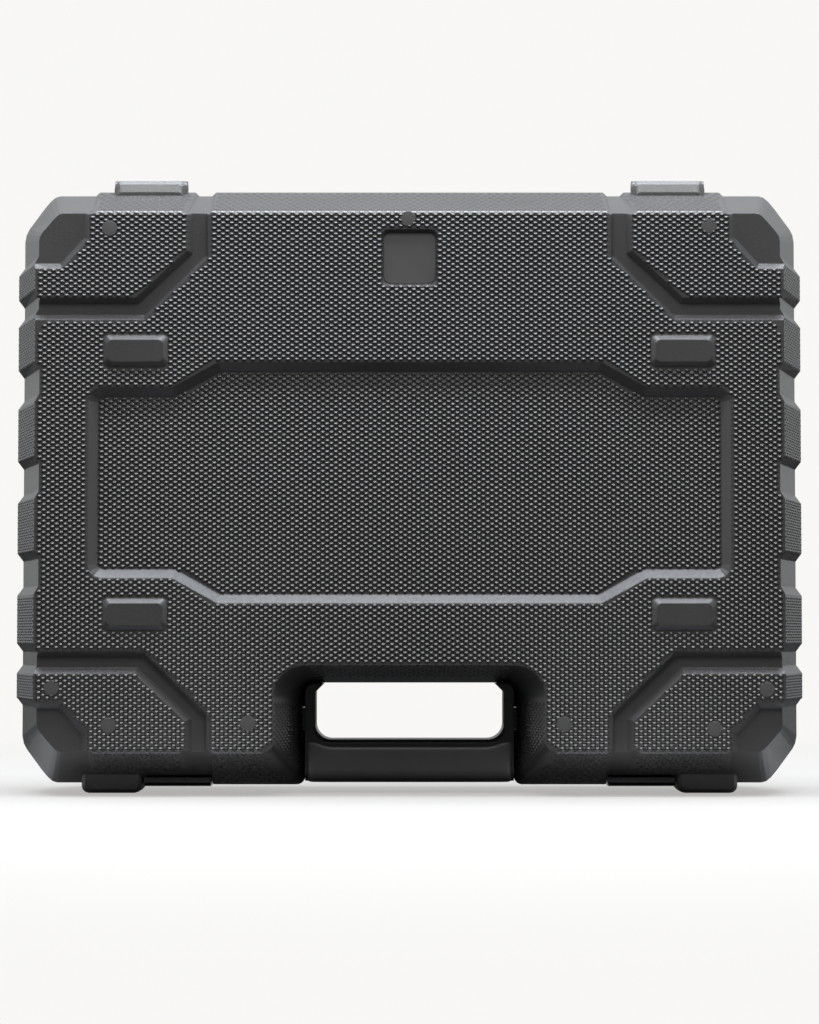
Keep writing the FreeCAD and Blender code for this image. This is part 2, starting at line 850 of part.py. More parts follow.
def outline_sketch(body, name, role, corners):
    """Closed sketch of straight lines through corners, each a pair of Terms."""
    sketch = new_sketch(body, name, role)
    count = len(corners)
    for i, (across, upright) in enumerate(corners):
        after = corners[(i + 1) % count]
        start = FreeCAD.Vector(across.value, upright.value, 0)
        stop = FreeCAD.Vector(after[0].value, after[1].value, 0)
        sketch.addGeometry(Part.LineSegment(start, stop), False)
    for i in range(count):
        sketch.addConstraint(Sketcher.Constraint("Coincident", i, 2, (i + 1) % count, 1))
        fix_point(sketch, i, 1, *corners[i])
    return sketch


def circle_sketch(body, name, role, radius):
    """Circle about the origin."""
    sketch = new_sketch(body, name, role)
    centre = FreeCAD.Vector(0, 0, 0)
    sketch.addGeometry(Part.Circle(centre, FreeCAD.Vector(0, 0, 1), radius.value), False)
    sketch.addConstraint(Sketcher.Constraint("Coincident", 0, 3, -1, 1))
    index = sketch.addConstraint(Sketcher.Constraint("Radius", 0, radius.value))
    sketch.setExpression("Constraints[%d]" % index, radius.text)
    return sketch


def pad(body, name, sketch, length, kind="Pad"):
    """Pad or pocket of the sketch, half to each side of its plane."""
    feature = body.newObject("PartDesign::" + kind, name)
    feature.Profile = sketch
    feature.SideType = "Symmetric"
    feature.setExpression("Length", length.text)
    return feature


def add_latch(name, hand):
    """Snap latch: plate with a lip towards the base, a barrel on the lid's pin, and a hook.

    The body's origin is at the pivot, half way along the barrel.
    """
    body = doc.addObject("PartDesign::Body", name)
    body.Label = name
    barrel = cell("latch_barrel")
    front = -(cell("latch_front") + cell("latch_pivot_depth"))
    low = cell("latch_low") - cell("latch_pivot_high")
    inner = low + cell("latch_thick")
    slope = cell("latch_slope")
    plate = outline_sketch(
        body,
        name + "_plate_outline",
        "YZ_Plane",
        [
            (front, inner),
            (front, low + slope),
            (front + slope, low),
            (barrel - slope, low),
            (barrel, low + slope),
            (barrel, ZERO),
            (-barrel, ZERO),
            (-barrel, inner),
        ],
    )
    pad(body, name + "_plate", plate, cell("latch_width"))
    ring = circle_sketch(body, name + "_barrel_outline", "YZ_Plane", barrel)
    pad(body, name + "_barrel", ring, cell("latch_width"))
    hook_front = front + cell("hook_setback")
    hook_top = cell("housing_high") - cell("catch_proud") - cell("hook_gap") - cell("latch_pivot_high")
    hook = outline_sketch(
        body,
        name + "_hook_outline",
        "YZ_Plane",
        [
            (hook_front, low + slope),
            (hook_front + cell("hook_thick"), low + slope),
            (hook_front + cell("hook_thick"), hook_top),
            (hook_front, inner),
        ],
    )
    pad(body, name + "_hook", hook, cell("hook_width"))
    bore = circle_sketch(
        body, name + "_bore_outline", "YZ_Plane", cell("latch_pin_radius") + cell("pin_gap")
    )
    pad(body, name + "_bore", bore, cell("latch_width") + cell("overrun"), "Pocket")
    sign = "" if hand > 0 else "-"
    body.setExpression(
        "Placement.Base.x",
        sign + "(sizes.rib_half_width - sizes.latch_inset - sizes.latch_width / 2)",
    )
    body.setExpression("Placement.Base.y", "sizes.latch_pivot_depth")
    body.setExpression("Placement.Base.z", "sizes.latch_pivot_high")
    return body


def add_pin(name, hand, radius, near, far, depth, high):
    """Steel pin along X, between two distances from the middle of the case."""
    pin = doc.addObject("Part::Cylinder", name)
    pin.Label = name
    pin.Placement = FreeCAD.Placement(
        FreeCAD.Vector(0, 0, 0), FreeCAD.Rotation(FreeCAD.Vector(0, 1, 0), 90)
    )
    pin.setExpression("Radius", radius)
    pin.setExpression("Height", "(%s) - (%s)" % (far, near))
    pin.setExpression("Placement.Base.x", near if hand > 0 else "-(%s)" % far)
    pin.setExpression("Placement.Base.y", depth)
    pin.setExpression("Placement.Base.z", high)
    return pin


def near_edges(shape, test):
    """Names of the edges whose centre passes the test, for a fillet."""
    return [
        "Edge%d" % number
        for number, edge in enumerate(shape.Edges, start=1)
        if test(edge.CenterOfMass)
    ]


def round_edges(body, name, source, edges, radius):
    feature = body.newObject("PartDesign::Fillet", name)
    feature.Base = (source, edges)
    feature.setExpression("Radius", radius.text)
    return feature


def add_grip():
    """U-shaped grip: a rounded bar, two arms up to the notch's ceiling, and side tongues."""
    body = doc.addObject("PartDesign::Body", "grip")
    body.Label = "grip"
    outer = cell("notch_half_seam") - cell("grip_gap")
    inner = outer - cell("grip_arm")
    low, high = cell("grip_low"), cell("grip_high")
    top = cell("notch_top_seam") - cell("grip_gap")
    bend = cell("grip_arm_round")
    frame = outline_sketch(
        body,
        "grip_outline",
        "XZ_Plane",
        [
            (-outer, low),
            (outer, low),
            (outer, top),
            (inner - bend, top),
            (inner, top - bend),
            (inner, high),
            (-inner, high),
            (-inner, top - bend),
            (-(inner - bend), top),
            (-outer, top),
        ],
    )
    thick = cell("grip_half_thick") + cell("grip_half_thick")
    bar = pad(body, "grip_frame", frame, thick)
    doc.recompute()
    small = sizes.pin_gap
    corners = near_edges(
        bar.Shape,
        lambda c: abs(abs(c.x) - inner.value) < small and abs(c.z - high.value) < small,
    )
    hollow = round_edges(body, "grip_inner_corners", bar, corners, cell("grip_inner_round"))
    doc.recompute()
    lower = near_edges(
        hollow.Shape,
        lambda c: abs(c.x) < small and abs(c.z - low.value) < small and abs(c.y) > small,
    )
    rounded_bar = round_edges(body, "grip_lower_edges", hollow, lower, cell("grip_edge_round"))
    doc.recompute()
    upper = near_edges(
        rounded_bar.Shape,
        lambda c: abs(c.x) < small and abs(c.z - high.value) < small and abs(c.y) > small,
    )
    softened = body.newObject("PartDesign::Chamfer", "grip_hole_edges")
    softened.Base = (rounded_bar, upper)
    softened.setExpression("Size", "sizes.grip_hole_edge")
    doc.recompute()
    shoulders = near_edges(
        softened.Shape,
        lambda c: abs(abs(c.x) - outer.value) < small and abs(c.z - top.value) < small,
    )
    round_edges(body, "grip_shoulders", softened, shoulders, cell("notch_round_seam"))
    doc.recompute()
    reach = cell("notch_half_seam") + cell("tongue_reach")
    for hand, sign in SIDES.items():
        inside, outside = outer - cell("grip_gap"), reach
        if sign < 0:
            inside, outside = -inside, -outside
        tongue = outline_sketch(
            body,
            "grip_tongue_%s_outline" % hand,
            "XZ_Plane",
            [
                (inside, cell("tongue_low")),
                (outside, cell("tongue_low")),
                (outside, cell("tongue_high")),
                (inside, cell("tongue_high")),
            ],
        )
        length = cell("tongue_half_thick") + cell("tongue_half_thick")
        pad(body, "grip_tongue_%s" % hand, tongue, length)
    return body


nodes = [
    add_half("base_shell", BASE, sizes.base_depth),
    add_half("lid_shell", LID, sizes.lid_depth),
    add_grip(),
]
latch_end = "sizes.rib_half_width - sizes.latch_inset"
hinge_end = "sizes.rib_half_width - sizes.hinge_inset"
seat = "sizes.latch_pin_seat - sizes.pin_end_gap"
for hand, sign in SIDES.items():
    nodes.append(add_latch("latch_" + hand, sign))
    nodes.append(
        add_pin(
            "latch_pin_" + hand,
            sign,
            "sizes.latch_pin_radius",
            "%s - sizes.latch_width - (%s)" % (latch_end, seat),
            "%s + %s" % (latch_end, seat),
            "sizes.latch_pivot_depth",
            "sizes.latch_pivot_high",
        )
    )
    nodes.append(
        add_pin(
            "hinge_pin_" + hand,
            sign,
            "sizes.hinge_pin_radius",
            "%s - sizes.hinge_width + sizes.pin_end_gap" % hinge_end,
            "%s - sizes.hinge_cap - sizes.pin_end_gap" % hinge_end,
            "0",
            "sizes.case_top + sizes.hinge_rise",
        )
    )
doc.recompute()

for item in doc.Objects:
    if {"Invalid", "Error"} & set(item.State):
        raise RuntimeError("%s did not recompute: %s" % (item.Name, item.State))
for node in nodes:
    if node.Shape.isNull() or not node.Shape.isValid():
        raise RuntimeError(node.Label + " has no valid shape")

os.makedirs("parts", exist_ok=True)
for node in nodes:
    node.Shape.exportStep("parts/%s.step" % node.Label)
    bounds = node.Shape.BoundBox
    print(
        "%-16s solids %d volume %.0f x %.1f..%.1f y %.1f..%.1f z %.1f..%.1f"
        % (
            node.Label, len(node.Shape.Solids), node.Shape.Volume, bounds.XMin, bounds.XMax,
            bounds.YMin, bounds.YMax, bounds.ZMin, bounds.ZMax,
        )
    )
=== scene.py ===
import math

import bpy
import numpy as np
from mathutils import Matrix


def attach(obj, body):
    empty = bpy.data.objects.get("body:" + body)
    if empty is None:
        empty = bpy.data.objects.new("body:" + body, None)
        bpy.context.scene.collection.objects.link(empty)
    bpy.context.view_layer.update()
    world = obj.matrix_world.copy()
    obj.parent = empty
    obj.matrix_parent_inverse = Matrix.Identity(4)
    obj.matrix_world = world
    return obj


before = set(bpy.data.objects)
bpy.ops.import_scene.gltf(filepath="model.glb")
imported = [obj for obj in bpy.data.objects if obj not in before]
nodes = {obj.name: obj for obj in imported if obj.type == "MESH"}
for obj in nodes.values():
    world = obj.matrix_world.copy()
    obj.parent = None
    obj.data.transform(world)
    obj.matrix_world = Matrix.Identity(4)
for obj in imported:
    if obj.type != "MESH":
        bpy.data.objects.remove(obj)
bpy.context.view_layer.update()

MM = 0.001

# Sizes in millimetres. The case stands on its grip side: X is its width, Z is up, and the two
# halves meet at y = 0. A size named SEAM holds at y = 0, and one named OUTER at the outer face.
BASE, LID = -1, 1
SIDES = ((-1, "left"), (1, "right"))
HALF = {BASE: "base", LID: "lid"}
DEPTH = {BASE: 56.4, LID: 59.0}
CASE_TOP, CASE_BOTTOM = 329.8, 4.0
TOP_DRAFT, BOTTOM_DRAFT, SIDE_DRAFT = 19.8, 20.2, 16.3
RIB_HALF_WIDTH = 215.3
SIDE_PROUD_OUTER = 2.5
WALL_BEVEL, RIB_BEVEL = 2.2, 4.4
GROOVE_MIDDLE, PANEL_MIDDLE = 165.0, 166.4
FIELD_EDGE, FIELD_EDGE_SEAM = 107.2, 108.9
FIELD_MEET, FIELD_TURN, FIELD_LINE = 141.0, 121.0, 88.0
PAD_EDGE, PAD_EDGE_SEAM, PAD_MEET, PAD_TURN, PAD_LINE = 118.5, 115.9, 145.5, 125.0, 99.8
PAD_END, PAD_END_SEAM, PAD_END_MEET, PAD_END_TURN, PAD_END_LINE = 170.5, 173.0, 184.8, 131.0, 115.3
PANEL_END, PANEL_MEET, PANEL_TURN = 170.5, 101.8, 125.8
PANEL_HALF, PANEL_SIDE_HALF, PANEL_DEEP, PANEL_BEVEL, PANEL_ROUND = 64.0, 50.7, 4.5, 4.8, 7.0
REST_FOOT_X, REST_FOOT_Z, REST_FOOT_WIDE, REST_FOOT_HIGH = 145.4, 69.9, 34.8, 17.0
SQUARE_MIDDLE, SQUARE_WIDE = 286.2, 30.4
NOTCH_HALF_OUTER, NOTCH_HALF_RIDGE, NOTCH_HALF_SEAM = 72.0, 64.0, 57.0
NOTCH_TOP_OUTER, NOTCH_TOP_SEAM, NOTCH_ROUND_OUTER, NOTCH_FOOT_ROUND = 69.5, 59.6, 17.0, 4.5
NOTCH_RIDGE_DEPTH = 24.0
NOTCH_ROOF_SEAM, NOTCH_ROOF_OUTER = 51.0, 55.0
ROUND_STEPS = 7
# upper and lower end of each rib, as shares of the height from CASE_BOTTOM to CASE_TOP
RIB_SPAN_SHARES = (
    (0.870, 0.802), (0.783, 0.683), (0.644, 0.529), (0.485, 0.374), (0.330, 0.223), (0.200, 0.133),
)
HINGE_NEAR, HINGE_FAR = 122.4, 162.2
PAD_STOP_DEPTH = 20.0

# The moulded grain is rows of low pimples, every second row moved along by half a pimple. On
# the drafted walls it is drawn out along the depth, as the mould's grain is there, and on the
# ribs and in the notch it is shorter and lower. GRAIN_ is a pitch, and PIMPLE_ a half width.
GRAIN_ACROSS, GRAIN_UPRIGHT, GRAIN_ALONG_DEPTH = 4.62, 2.97, 11.0
PIMPLE_ACROSS, PIMPLE_UPRIGHT, PIMPLE_ALONG_DEPTH = 1.95, 1.38, 4.3
PIMPLE_PROUD, WALL_PIMPLE_PROUD, PIMPLE_SUNK = 1.0, 0.9, 0.08
NARROW_SHORTER, NARROW_LOWER, EDGE_LOWER = 0.6, 0.8, 0.7

FACE_PITCH = (GRAIN_ACROSS, GRAIN_UPRIGHT)
FACE_PIMPLE = (PIMPLE_ACROSS, PIMPLE_UPRIGHT, PIMPLE_PROUD)
EDGE_PIMPLE = (PIMPLE_ACROSS, PIMPLE_UPRIGHT, PIMPLE_PROUD * EDGE_LOWER)
WALL_PITCH = (GRAIN_ACROSS, GRAIN_ALONG_DEPTH)
WALL_PIMPLE = (PIMPLE_ACROSS, PIMPLE_ALONG_DEPTH, WALL_PIMPLE_PROUD)
NARROW_PITCH = (GRAIN_UPRIGHT, GRAIN_ALONG_DEPTH * NARROW_SHORTER)
NARROW_PIMPLE = (
    PIMPLE_UPRIGHT, PIMPLE_ALONG_DEPTH * NARROW_SHORTER, WALL_PIMPLE_PROUD * NARROW_LOWER,
)

# where the grain ends: how far it stays inside an outline, clear of a form that it goes round,
# or runs over its edge
GRAIN_MARGIN, SQUARE_CLEAR, REST_FOOT_CLEAR, HINGE_CLEAR = 1.0, 0.5, 0.8, 1.5
MARK_OVERLAP, PANEL_OVERLAP, RIB_OVERLAP = 0.6, 0.2, 0.8

# where it begins and ends along a wall, from the seam or upwards
WALL_START, HINGE_FOOT, NOTCH_INNER_START, NOTCH_ROOF_START = 2.0, 13.5, 3.0, 16.0
NOTCH_INNER_TOP, NOTCH_OUTER_TOP = 48.0, 51.0
NOTCH_ASIDE_SEAM, NOTCH_ASIDE_OUTER = 8.0, 5.0

# rows of pimples round the edge between the outer face and the top or bottom wall: how far back
# from the face they stand, how far past the edge, and how many degrees they lean towards the wall
EDGE_ROWS = ((0.3, 0.1, 20.0), (2.3, 0.9, 52.0))
EDGE_ROW_HALF_COUNT = 60

# smooth round marks that the ejector pins leave in the grain of the base half: (x, z)
EJECTOR_MARKS = (
    (-159.6, 301.8), (-0.8, 307.0), (159.4, 303.1), (-189.3, 57.6), (-159.1, 37.9),
    (-85.4, 38.9), (81.8, 38.5), (161.2, 36.0), (188.9, 56.8),
)
EJECTOR_MARK_RADIUS, EJECTOR_MARK_PROUD = 4.2, 0.55

# camera
camera_data = bpy.data.cameras.new("camera")
camera_data.lens = 100
camera_data.sensor_width = 36
camera_data.clip_end = 50
camera = bpy.data.objects.new("camera", camera_data)
camera.location = (0, -1.562, 0.085)
camera.rotation_euler = (math.radians(92.5), 0, 0)
bpy.context.scene.collection.objects.link(camera)
bpy.context.scene.camera = camera
bpy.context.scene.view_settings.view_transform = "Standard"


# materials
def node_adder(tree):
    """Helper that adds a node with its settings, and sets each input or links a socket to it."""
    def add(kind, inputs=None, **settings):
        node = tree.nodes.new(kind)
        for key, value in settings.items():
            setattr(node, key, value)
        for key, value in (inputs or {}).items():
            if isinstance(value, bpy.types.NodeSocket):
                tree.links.new(value, node.inputs[key])
            else:
                node.inputs[key].default_value = value
        return node

    return add


def smooth_change(add, along, start, end, low, high):
    """Value that goes smoothly from low to high where along goes from start to end."""
    change = add(
        "ShaderNodeMapRange",
        {"Value": along, "From Min": start, "From Max": end, "To Min": low, "To Max": high},
        interpolation_type="SMOOTHSTEP",
    )
    return change.outputs["Result"]


def new_material(name):
    """Node material with its Principled shader, and the helper that adds nodes to it."""
    material = bpy.data.materials.new(name)
    material.use_nodes = True
    tree = material.node_tree
    return material, tree, tree.nodes["Principled BSDF"], node_adder(tree)


# nearly all values of a noise texture lie between these two
NOISE_LOW, NOISE_HIGH = 0.3, 0.7
MOTTLE, GLOSS_CHANGE, PIMPLE_IOR = 0.1, 0.05, 1.65


def moulded_plastic(name, colour, roughness, grain_size, grain_height, edge_radius):
    """Moulded plastic: fine leather-like grain, faint mottling of colour and gloss, and edges
    softened by edge_radius. Sizes are in millimetres.
    """
    material, tree, shader, add = new_material(name)
    shader.inputs["Specular IOR Level"].default_value = 1.0
    place = add("ShaderNodeTexCoord").outputs["Object"]
    cells = add(
        "ShaderNodeTexVoronoi", {"Vector": place, "Scale": 1 / (grain_size * MM)},
        feature="SMOOTH_F1",
    )
    fine = add(
        "ShaderNodeTexNoise",
        {"Vector": place, "Scale": 1.6 / (grain_size * MM), "Detail": 2.0, "Roughness": 0.6},
    )
    mixed = add(
        "ShaderNodeMath", {0: cells.outputs["Distance"], 1: fine.outputs["Fac"]},
        operation="MULTIPLY",
    )
    bump_inputs = {"Height": mixed.outputs[0], "Strength": 1.0, "Distance": grain_height * MM}
    if edge_radius:
        soft_edge = add("ShaderNodeBevel", {"Radius": edge_radius * MM}, samples=4)
        bump_inputs["Normal"] = soft_edge.outputs["Normal"]
    bump = add("ShaderNodeBump", bump_inputs)
    cloud = add(
        "ShaderNodeTexNoise", {"Vector": place, "Scale": 22.0, "Detail": 4.0, "Roughness": 0.55}
    )
    tone = add(
        "ShaderNodeMapRange",
        {"Value": cloud.outputs["Fac"], "From Min": NOISE_LOW, "From Max": NOISE_HIGH,
         "To Min": 1.0 - MOTTLE, "To Max": 1.0 + MOTTLE},
    )
    tint = add(
        "ShaderNodeVectorMath", {0: colour, "Scale": tone.outputs["Result"]}, operation="SCALE"
    )
    gloss = add(
        "ShaderNodeMapRange",
        {"Value": fine.outputs["Fac"], "From Min": NOISE_LOW, "From Max": NOISE_HIGH,
         "To Min": roughness - GLOSS_CHANGE, "To Max": roughness + GLOSS_CHANGE},
    )
    tree.links.new(tint.outputs["Vector"], shader.inputs["Base Color"])
    tree.links.new(gloss.outputs["Result"], shader.inputs["Roughness"])
    tree.links.new(bump.outputs["Normal"], shader.inputs["Normal"])
    return material


def drawn_steel(name):
    """Zinc-plated pin steel: fine rings across X, and a soft change of gloss."""
    material, tree, shader, add = new_material(name)
    place = add("ShaderNodeTexCoord").outputs["Object"]
    stretched = add("ShaderNodeMapping", {"Vector": place, "Scale": (3000.0, 120.0, 120.0)})
    lines = add("ShaderNodeTexNoise", {"Vector": stretched.outputs[0], "Scale": 1.0, "Detail": 2.0})
    gloss = add(
        "ShaderNodeMapRange",
        {"Value": lines.outputs["Fac"], "From Min": NOISE_LOW, "From Max": NOISE_HIGH,
         "To Min": 0.22, "To Max": 0.4},
    )
    bump = add(
        "ShaderNodeBump", {"Height": lines.outputs["Fac"], "Strength": 1.0, "Distance": 0.01 * MM}
    )
    shader.inputs["Base Color"].default_value = (0.5, 0.5, 0.49, 1)
    shader.inputs["Metallic"].default_value = 1.0
    tree.links.new(gloss.outputs["Result"], shader.inputs["Roughness"])
    tree.links.new(bump.outputs["Normal"], shader.inputs["Normal"])
    return material


shell_plastic = moulded_plastic("shell_plastic", (0.112, 0.111, 0.110), 0.36, 1.3, 0.12, 0.7)
# The pimples on the outer face and on the walls have darker copies of the shell's plastic, which is
# one plastic on the real case: the darker colour is painted shade in the grain, between and under
# the pimples, darkest on the outer face.
pimple_painted_shade = moulded_plastic("pimple_painted_shade", (0.04, 0.04, 0.04), 0.22, 0.5, 0.01, 0)
wall_pimple_painted_shade = moulded_plastic(
    "wall_pimple_painted_shade", (0.085, 0.084, 0.083), 0.28, 0.5, 0.01, 0
)
for material in (pimple_painted_shade, wall_pimple_painted_shade):
    material.node_tree.nodes["Principled BSDF"].inputs["IOR"].default_value = PIMPLE_IOR
# The grip's cushions and its frame have a lighter and a darker copy of one plastic: the cushions'
# lighter colour is painted light on the bar's face, and the frame's near-black colour is painted
# shade round the window, on the arms and on the lips beside them.
grip_plastic = moulded_plastic("grip_plastic", (0.15, 0.149, 0.147), 0.34, 0.6, 0.015, 0)
grip_frame_painted_shade = moulded_plastic(
    "grip_frame_painted_shade", (0.03, 0.03, 0.03), 0.34, 0.6, 0.015, 0.7
)
insert_plastic = moulded_plastic("insert_plastic", (0.17, 0.169, 0.168), 0.4, 0.6, 0.01, 0)
latch_plastic = moulded_plastic("latch_plastic", (0.006, 0.006, 0.0062), 0.14, 1.2, 0.004, 0.7)
pin_steel = drawn_steel("pin_steel")


def finish_with(piece, material):
    """Give a CAD node one material in place of those it came with."""
    piece.data.materials.clear()
    piece.data.materials.append(material)


# pieces from arrays
def mesh_piece(name, points, faces, material, half):
    """Piece at the origin from an array of points, in millimetres, and an array of triangles."""
    mesh = bpy.data.meshes.new(name)
    mesh.vertices.add(len(points))
    mesh.vertices.foreach_set("co", (points * MM).astype(np.float32).ravel())
    mesh.loops.add(faces.size)
    mesh.loops.foreach_set("vertex_index", faces.astype(np.int32).ravel())
    mesh.polygons.add(len(faces))
    mesh.polygons.foreach_set("loop_start", np.arange(0, faces.size, 3, dtype=np.int32))
    mesh.update(calc_edges=True)
    mesh.polygons.foreach_set("use_smooth", np.ones(len(faces), bool))
    mesh.materials.append(material)
    piece = bpy.data.objects.new(name, mesh)
    bpy.context.scene.collection.objects.link(piece)
    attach(piece, HALF[half])


def dome(sides, radii, heights):
    """Round form of unit radius: rings of points at radii and heights, and one point on top.

    Point k of a ring stands at the angle 2 pi k / sides, and the faces wind outwards.
    """
    angle = np.arange(sides) * 2 * np.pi / sides
    rings = [
        np.stack([r * np.cos(angle), r * np.sin(angle), np.full(sides, h)], 1)
        for r, h in zip(radii, heights)
    ]
    points = np.concatenate(rings + [np.array([[0.0, 0.0, heights[-1]]])])
    step = np.arange(sides)
    after = (step + 1) % sides
    faces = []
    for ring in range(len(radii) - 1):
        low, high = ring * sides, (ring + 1) * sides
        faces.append(np.stack([low + step, low + after, high + after], 1))
        faces.append(np.stack([low + step, high + after, high + step], 1))
    last = (len(radii) - 1) * sides
    faces.append(np.stack([last + step, last + after, np.full(sides, len(radii) * sides)], 1))
    return points, np.concatenate(faces)


def pimple_form():
    """Unit pimple, whose height at radius r is cos(pi r / 2) squared."""
    radii = np.array([1.0, 0.70, 0.38])
    heights = np.append(np.cos(np.pi * radii / 2) ** 2, 1.0)
    return dome(6, radii, heights)


def disc_form():
    """Unit disc with a flat top and a softened rim."""
    return dome(32, [1.0, 0.99, 0.95, 0.88], [-0.2, 0.7, 0.95, 1.0, 1.0])


def loft(rings):
    """Closed form through rings of points, all of one length, with a cap on each end.

    The sum of a . (b x c) over the triangles, six times the volume, says which way they wind.
    """
    rings = np.asarray(rings, float)
    count, sides = rings.shape[:2]
    step = np.arange(sides)
    after = (step + 1) % sides
    first = np.arange(count - 1)[:, None] * sides
    low, low_after = first + step, first + after
    fan = np.arange(1, sides - 1)
    end = (count - 1) * sides
    faces = np.concatenate([
        np.stack([low, low_after, low_after + sides], -1).reshape(-1, 3),
        np.stack([low, low_after + sides, low + sides], -1).reshape(-1, 3),
        np.stack([0 * fan, fan + 1, fan], -1),
        np.stack([end + 0 * fan, end + fan, end + fan + 1], -1),
    ])
    points = rings.reshape(-1, 3)
    a, b, c = (points[faces[:, corner]] for corner in range(3))
    return points, faces if (a * np.cross(b, c)).sum() > 0 else faces[:, ::-1]


def lattice(low, high, pitch):
    """Grain places in a rectangle: a square-cornered grid, and the same moved by half a cell."""
    grids = []
    for shift in (0.0, 0.5):
        s, t = (
            (np.arange(math.floor(a / step) - 1, math.ceil(b / step) + 1) + shift) * step
            for a, b, step in zip(low, high, pitch)
        )
        grids.append(np.stack(np.meshgrid(s, t), -1).reshape(-1, 2))
    places = np.concatenate(grids)
    return places[((places >= low) & (places <= high)).all(1)]


def edge_distance(places, outline):
    """Distance from places to a closed outline, above 0 inside it and below 0 outside.

    It is the least distance to any edge, and the side comes from how often a ray crosses one.
    """
    start = np.asarray(outline, float)
    run = np.roll(start, -1, axis=0) - start
    offset = places[:, None, :] - start[None]
    share = np.clip((offset * run).sum(2) / (run * run).sum(1), 0, 1)
    least = np.sqrt(((offset - share[..., None] * run) ** 2).sum(2)).min(1)
    x, z = places[:, :1], places[:, 1:]
    spans = (start[:, 1] > z) != (start[:, 1] + run[:, 1] > z)
    rise = np.where(run[:, 1] == 0, 1.0, run[:, 1])
    crossing = start[:, 0] + (z - start[:, 1]) / rise * run[:, 0]
    inside = (spans & (x < crossing)).sum(1) % 2 == 1
    return np.where(inside, least, -least)


def rectangle(centre_x, centre_z, wide, high):
    """Outline of an upright rectangle, from its lower left corner."""
    return [
        (centre_x - wide / 2, centre_z - high / 2), (centre_x + wide / 2, centre_z - high / 2),
        (centre_x + wide / 2, centre_z + high / 2), (centre_x - wide / 2, centre_z + high / 2),
    ]


def both_sides(right_half):
    """Outline from its right half and that half's mirror image."""
    return list(right_half) + [(-x, z) for x, z in reversed(right_half)]


def inset(outline, distance):
    """Closed outline whose edges are moved inwards by distance."""
    points = np.asarray(outline, float)
    after = np.roll(points, -1, axis=0)
    turn = np.sign((points[:, 0] * after[:, 1] - after[:, 0] * points[:, 1]).sum())
    normals = []
    for run in (points - np.roll(points, 1, axis=0), after - points):
        unit = run / np.linalg.norm(run, axis=1, keepdims=True)
        normals.append(np.stack([-unit[:, 1], unit[:, 0]], 1) * turn)
    reach = distance / (1 + (normals[0] * normals[1]).sum(1, keepdims=True))
    return points + (normals[0] + normals[1]) * reach


def repeated(name, form, centres, along_a, along_b, outwards, sizes, sunk, material, half):
    """One piece of many like forms: the unit point (a, b, h) of each goes to
    centre + a size_a along_a + b size_b along_b + (h size_h - sunk) outwards.
    """
    unit, faces = form
    a, b, h = unit.T
    offset = (
        a[:, None] * sizes[0] * np.asarray(along_a)
        + b[:, None] * sizes[1] * np.asarray(along_b)
        + (h[:, None] * sizes[2] - sunk) * np.asarray(outwards)
    )
    points = (centres[:, None, :] + offset[None]).reshape(-1, 3)
    first = np.arange(len(centres))[:, None, None] * len(unit)
    mesh_piece(name, points, (faces[None] + first).reshape(-1, 3), material, half)


def wall_grain(name, half, corner, along_s, along_t, facing, outlines, pitch, sizes, keep=None):
    """Grain on a flat wall, whose point (s, t) is corner + s along_s + t along_t.

    It fills the outlines in (s, t), up to GRAIN_MARGIN, where keep is true of a place. The
    pimples stand to the side that facing points to.
    """
    along_s, along_t = (np.array(run, float) / np.linalg.norm(run) for run in (along_s, along_t))
    outwards = np.cross(along_s, along_t)
    outwards *= np.sign(outwards @ np.array(facing, float))
    across = np.cross(along_t, outwards)
    every = np.concatenate([np.asarray(outline, float) for outline in outlines])
    places = lattice(every.min(0), every.max(0), pitch)
    covered = np.zeros(len(places), bool)
    for outline in outlines:
        covered |= edge_distance(places, outline) > GRAIN_MARGIN
    if keep is not None:
        covered &= keep(places)
    places = places[covered]
    centres = np.array(corner, float) + places[:, :1] * along_s + places[:, 1:] * along_t
    # pimples on the outer face take the darkest plastic, painted shade, and those on the walls the
    # less dark one
    material = pimple_painted_shade if abs(outwards[1]) > 0.99 else wall_pimple_painted_shade
    repeated(
        name, pimple_form(), centres, across, along_t, outwards, sizes, PIMPLE_SUNK, material, half
    )


# outlines of the outer face
rib_x = RIB_HALF_WIDTH - SIDE_DRAFT
core_x = rib_x - SIDE_PROUD_OUTER
face_top, face_bottom = CASE_TOP - TOP_DRAFT, CASE_BOTTOM + BOTTOM_DRAFT
mid = GROOVE_MIDDLE
rib_spans = [
    tuple(CASE_BOTTOM + (CASE_TOP - CASE_BOTTOM) * share for share in shares)
    for shares in RIB_SPAN_SHARES
]


def rib_bevel(upper, lower):
    """Height of the bevel above and below a rib, at most a third of the rib's own."""
    return min(RIB_BEVEL, (upper - lower) / 3)


def ribbed_side(low, high):
    """Side edge of the outer face between two heights, from top to bottom, along its ribs."""
    points = []
    for upper, lower in rib_spans:
        bevel = rib_bevel(upper, lower)
        points += [(core_x, upper), (rib_x, upper - bevel), (rib_x, lower + bevel), (core_x, lower)]
    return [(x, z) for x, z in points if low < z < high]


notch_bend = [
    (
        NOTCH_HALF_OUTER - NOTCH_ROUND_OUTER * (1 - math.cos(angle)),
        NOTCH_TOP_OUTER - NOTCH_ROUND_OUTER * (1 - math.sin(angle)),
    )
    for angle in np.linspace(0, math.pi / 2, ROUND_STEPS)
]
field_outline = both_sides(
    [
        (FIELD_EDGE - WALL_BEVEL, face_top),
        (FIELD_EDGE, face_top - WALL_BEVEL),
        (FIELD_EDGE, mid + FIELD_TURN),
        (FIELD_MEET, mid + FIELD_LINE),
        (core_x, mid + FIELD_LINE),
    ]
    + ribbed_side(mid - FIELD_LINE + 1, mid + FIELD_LINE - 1)
    + [
        (core_x, mid - FIELD_LINE),
        (FIELD_MEET, mid - FIELD_LINE),
        (FIELD_EDGE, mid - FIELD_TURN),
        (FIELD_EDGE, face_bottom),
        (NOTCH_HALF_OUTER + NOTCH_FOOT_ROUND, face_bottom),
        (NOTCH_HALF_OUTER, face_bottom + NOTCH_FOOT_ROUND),
    ]
    + notch_bend
)


